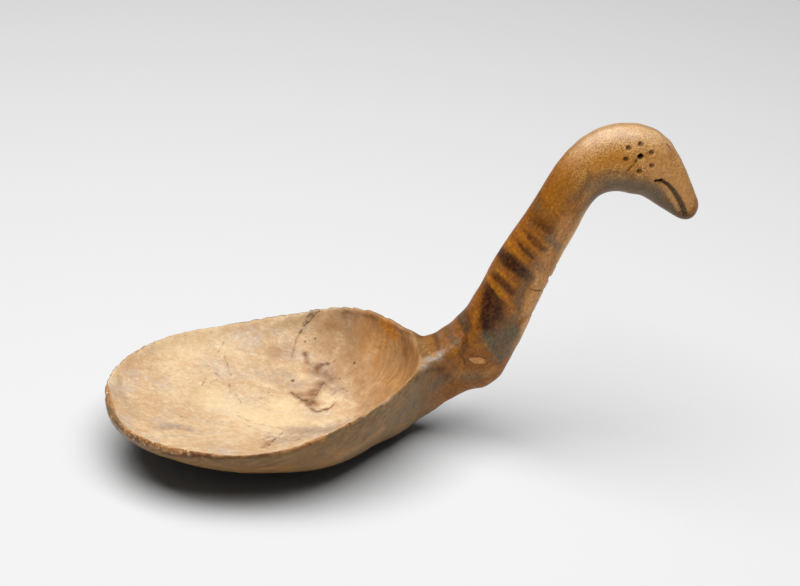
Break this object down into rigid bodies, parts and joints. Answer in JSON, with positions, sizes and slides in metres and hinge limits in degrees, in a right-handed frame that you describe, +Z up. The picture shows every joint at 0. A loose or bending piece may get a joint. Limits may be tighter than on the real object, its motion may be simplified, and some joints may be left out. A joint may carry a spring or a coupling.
{
  "type": "carved wooden ladle",
  "caption": "Wide oval hollowed bowl with a keel running into a steep neck that bends over into a carved animal head; scoops, pours and hooks over a vessel's edge.",
  "frame": {"origin": "middle of the flat under the bowl, on the surface that the ladle stands on", "axes": "+X from the bowl's lip to the snout, +Z up, +Y across the ladle to the side away from the knot"},
  "size_m": [0.3192, 0.148, 0.1761],
  "materials": {
    "carved_wood": "hand-worn, satin, banded and figured hardwood",
    "knot_wood": "satin, pale end grain",
    "split_filler": "matt, lumpy"
  },
  "bodies": {
    "root": {"ladle_carving": "carved_wood", "elbow_knot": "knot_wood", "rim_split_fill": "split_filler"}
  },
  "joints": []
}
